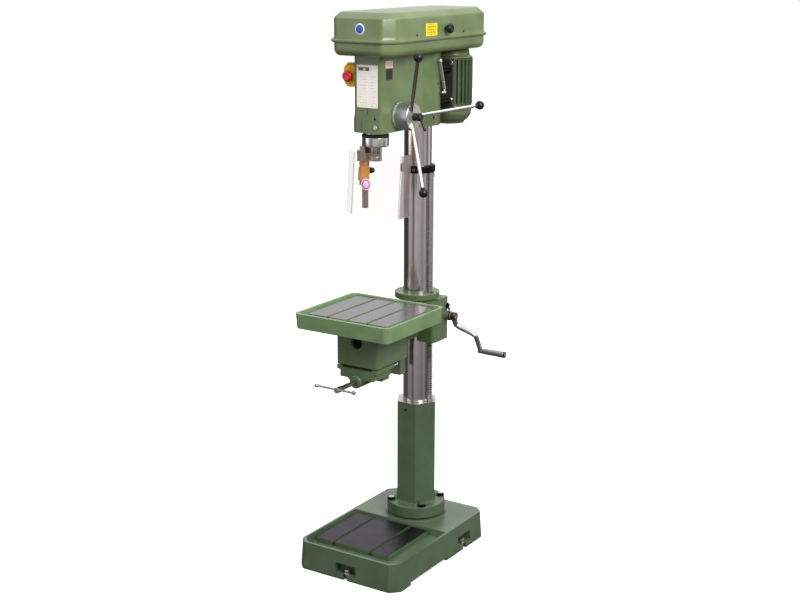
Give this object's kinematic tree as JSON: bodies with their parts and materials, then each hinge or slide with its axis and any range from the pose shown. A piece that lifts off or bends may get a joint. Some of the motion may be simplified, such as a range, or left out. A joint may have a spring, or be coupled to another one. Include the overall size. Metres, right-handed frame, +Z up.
{
  "type": "pillar drill press",
  "caption": "Floor-standing pillar drill press with a belt-driven head, a three-handled feed, a crank-raised slotted table, a spindle guard and a cast base.",
  "frame": {"origin": "on the floor, where the column's axis meets it", "axes": "+Z up along the column; +X towards the feed handles and the table crank, the operator's right; -Y towards the operator"},
  "size_m": [0.4905, 0.748, 1.8145],
  "materials": {
    "green_paint": "semi-gloss green enamel on castings and sheet",
    "machined_iron": "machined grey iron",
    "polished_steel": "ground and polished steel",
    "chrome": "bright plated",
    "black_plastic": "black moulded",
    "black_steel": "blackened steel",
    "yellow_plastic": "yellow moulded",
    "red_plastic": "red moulded",
    "start_green": "green moulded",
    "orange_plastic": "orange moulded",
    "white_label": "white printed plate",
    "clear_sheet": "clear polycarbonate sheet",
    "belt_rubber": "matt black rubber",
    "cast_aluminium": "matt cast or drawn"
  },
  "bodies": {
    "stand": {"base_casting": "green_paint", "levelling_screw_front": "machined_iron", "levelling_screw_left": "machined_iron", "levelling_screw_right": "machined_iron", "pedestal": "green_paint", "pedestal_bolt_1": "black_steel", "pedestal_bolt_2": "black_steel", "pedestal_bolt_3": "black_steel", "pedestal_bolt_4": "black_steel", "column_tube": "polished_steel", "rack_collar": "black_steel", "head_casting": "green_paint", "nameplate": "white_label", "cover_tray": "green_paint", "lid_hinge_front": "chrome", "lid_hinge_rear": "chrome", "switch_box": "black_plastic", "v_belt": "belt_rubber"},
    "rack": {"rack": "polished_steel"},
    "table": {"table_bracket": "green_paint", "table_top": "green_paint", "lock_block": "green_paint"},
    "lift_pinion": {"worm_wheel": "polished_steel"},
    "crank": {"worm_shaft": "polished_steel", "crank_arm": "chrome"},
    "grip": {"crank_grip": "cast_aluminium"},
    "clamp_screw": {"lock_screw": "polished_steel"},
    "clamp_bar": {"tommy_bar": "chrome"},
    "quill": {"quill": "polished_steel", "quill_collar": "chrome", "quill_buffer": "belt_rubber", "guard_bracket": "cast_aluminium"},
    "spindle": {"spindle": "polished_steel"},
    "spindle_pulley": {"spindle_pulley": "machined_iron"},
    "motor": {"motor_plate": "black_steel", "motor_housing": "green_paint", "motor_end_bell": "green_paint", "motor_top_shield": "green_paint"},
    "rotor": {"motor_shaft": "polished_steel", "motor_pulley": "machined_iron"},
    "belt_lever": {"belt_lever": "chrome"},
    "lid": {"cover_lid": "green_paint"},
    "lid_knob": {"lid_knob": "black_plastic"},
    "feed": {"feed_dial": "white_label", "feed_shaft": "polished_steel", "feed_hub": "machined_iron", "feed_handle_1": "chrome", "feed_handle_2": "chrome", "feed_handle_3": "chrome", "handle_ball_1": "black_plastic", "handle_ball_2": "black_plastic", "handle_ball_3": "black_plastic"},
    "hub_lever": {"hub_lock_lever": "black_plastic"},
    "flap": {"switch_flap": "yellow_plastic"},
    "stop": {"stop_button": "red_plastic"},
    "start": {"start_button": "start_green"},
    "guard_post": {"guard_rod": "cast_aluminium"},
    "guard": {"guard_block": "orange_plastic", "guard_shield": "clear_sheet"},
    "guard_knob": {"guard_knob": "black_plastic"}
  },
  "joints": [
    {"name": "table_swing", "type": "hinge", "parent": "stand", "child": "rack", "pos_m": [0, 0, 0.506], "axis": [0, 0, 1], "range_deg": [-90, 90]},
    {"name": "table_lift", "type": "slide", "parent": "rack", "child": "table", "axis": [0, 0, 1], "range_m": [-0.13, 0.12]},
    {"name": "pinion_turn", "type": "hinge", "parent": "table", "child": "lift_pinion", "pos_m": [0.071, 0, 0.8355], "axis": [0, 1, 0], "range_deg": [-555, 600]},
    {"name": "crank_turn", "type": "hinge", "parent": "table", "child": "crank", "pos_m": [0.119, 0.02, 0.81], "axis": [1, 0, 0], "range_deg": [-2760, 2985]},
    {"name": "grip_spin", "type": "hinge", "parent": "crank", "child": "grip", "pos_m": [0.1955, 0.0935, 0.68269], "axis": [1, 0, 0], "continuous": true},
    {"name": "clamp_turn", "type": "hinge", "parent": "table", "child": "clamp_screw", "pos_m": [0, -0.3, 0.66], "axis": [0, 1, 0], "range_deg": [-90, 90]},
    {"name": "clamp_bar_slide", "type": "slide", "parent": "clamp_screw", "child": "clamp_bar", "axis": [1, 0, 0], "range_m": [-0.04, 0.06]},
    {"name": "quill_feed", "type": "slide", "parent": "stand", "child": "quill", "axis": [0, 0, -1], "range_m": [0, 0.13], "stiffness_N_per_m": 300, "springref_m": -0.4},
    {"name": "spindle_turn", "type": "hinge", "parent": "quill", "child": "spindle", "pos_m": [0, -0.25, 1.4], "axis": [0, 0, 1], "continuous": true},
    {"name": "pulley_turn", "type": "hinge", "parent": "stand", "child": "spindle_pulley", "pos_m": [0, -0.25, 1.7], "axis": [0, 0, 1], "continuous": true},
    {"name": "motor_slide", "type": "slide", "parent": "stand", "child": "motor", "axis": [0, 1, 0], "range_m": [-0.012, 0], "deforming": ["v_belt"]},
    {"name": "motor_turn", "type": "hinge", "parent": "motor", "child": "rotor", "pos_m": [0, 0.197, 1.55], "axis": [0, 0, 1], "continuous": true},
    {"name": "belt_lever_turn", "type": "hinge", "parent": "stand", "child": "belt_lever", "pos_m": [0.08, 0, 1.653], "axis": [1, 0, 0], "range_deg": [-41, 0]},
    {"name": "lid_open", "type": "hinge", "parent": "stand", "child": "lid", "pos_m": [-0.1295, 0, 1.7275], "axis": [0, -1, 0], "range_deg": [0, 95]},
    {"name": "lid_knob_turn", "type": "hinge", "parent": "lid", "child": "lid_knob", "pos_m": [0.13, -0.026, 1.757], "axis": [1, 0, 0], "range_deg": [0, 90]},
    {"name": "feed_turn", "type": "hinge", "parent": "stand", "child": "feed", "pos_m": [0.052, -0.195, 1.494], "axis": [1, 0, 0], "range_deg": [0, 340]},
    {"name": "hub_lever_turn", "type": "hinge", "parent": "feed", "child": "hub_lever", "pos_m": [0.13, -0.195, 1.494], "axis": [1, 0, 0], "range_deg": [-30, 30]},
    {"name": "flap_open", "type": "hinge", "parent": "stand", "child": "flap", "pos_m": [-0.082, -0.2665, 1.6535], "axis": [-1, 0, 0], "range_deg": [0, 85]},
    {"name": "stop_press", "type": "slide", "parent": "flap", "child": "stop", "axis": [0, 1, 0], "range_m": [0, 0.004], "stiffness_N_per_m": 500, "springref_m": -0.002},
    {"name": "start_press", "type": "slide", "parent": "stand", "child": "start", "axis": [0, 1, 0], "range_m": [0, 0.0025], "stiffness_N_per_m": 500, "springref_m": -0.002},
    {"name": "guard_swing", "type": "hinge", "parent": "quill", "child": "guard_post", "pos_m": [-0.036, -0.255, 1.3525], "axis": [0, 0, 1], "range_deg": [-100, 0]},
    {"name": "guard_slide", "type": "slide", "parent": "guard_post", "child": "guard", "axis": [0, 0, 1], "range_m": [-0.04, 0]},
    {"name": "guard_knob_turn", "type": "hinge", "parent": "guard", "child": "guard_knob", "pos_m": [-0.036, -0.23, 1.318], "axis": [0, 1, 0], "range_deg": [-90, 90]}
  ],
  "couplings": [
    {"joint": "pinion_turn", "follows": "table_lift", "rad_per_m": -80},
    {"joint": "crank_turn", "follows": "table_lift", "rad_per_m": -400},
    {"joint": "feed_turn", "follows": "quill_feed", "rad_per_m": 45.455},
    {"joint": "spindle_turn", "follows": "pulley_turn", "ratio": 1},
    {"joint": "motor_turn", "follows": "pulley_turn", "ratio": 1.3158},
    {"joint": "belt_lever_turn", "follows": "motor_slide", "rad_per_m": 58.178}
  ]
}
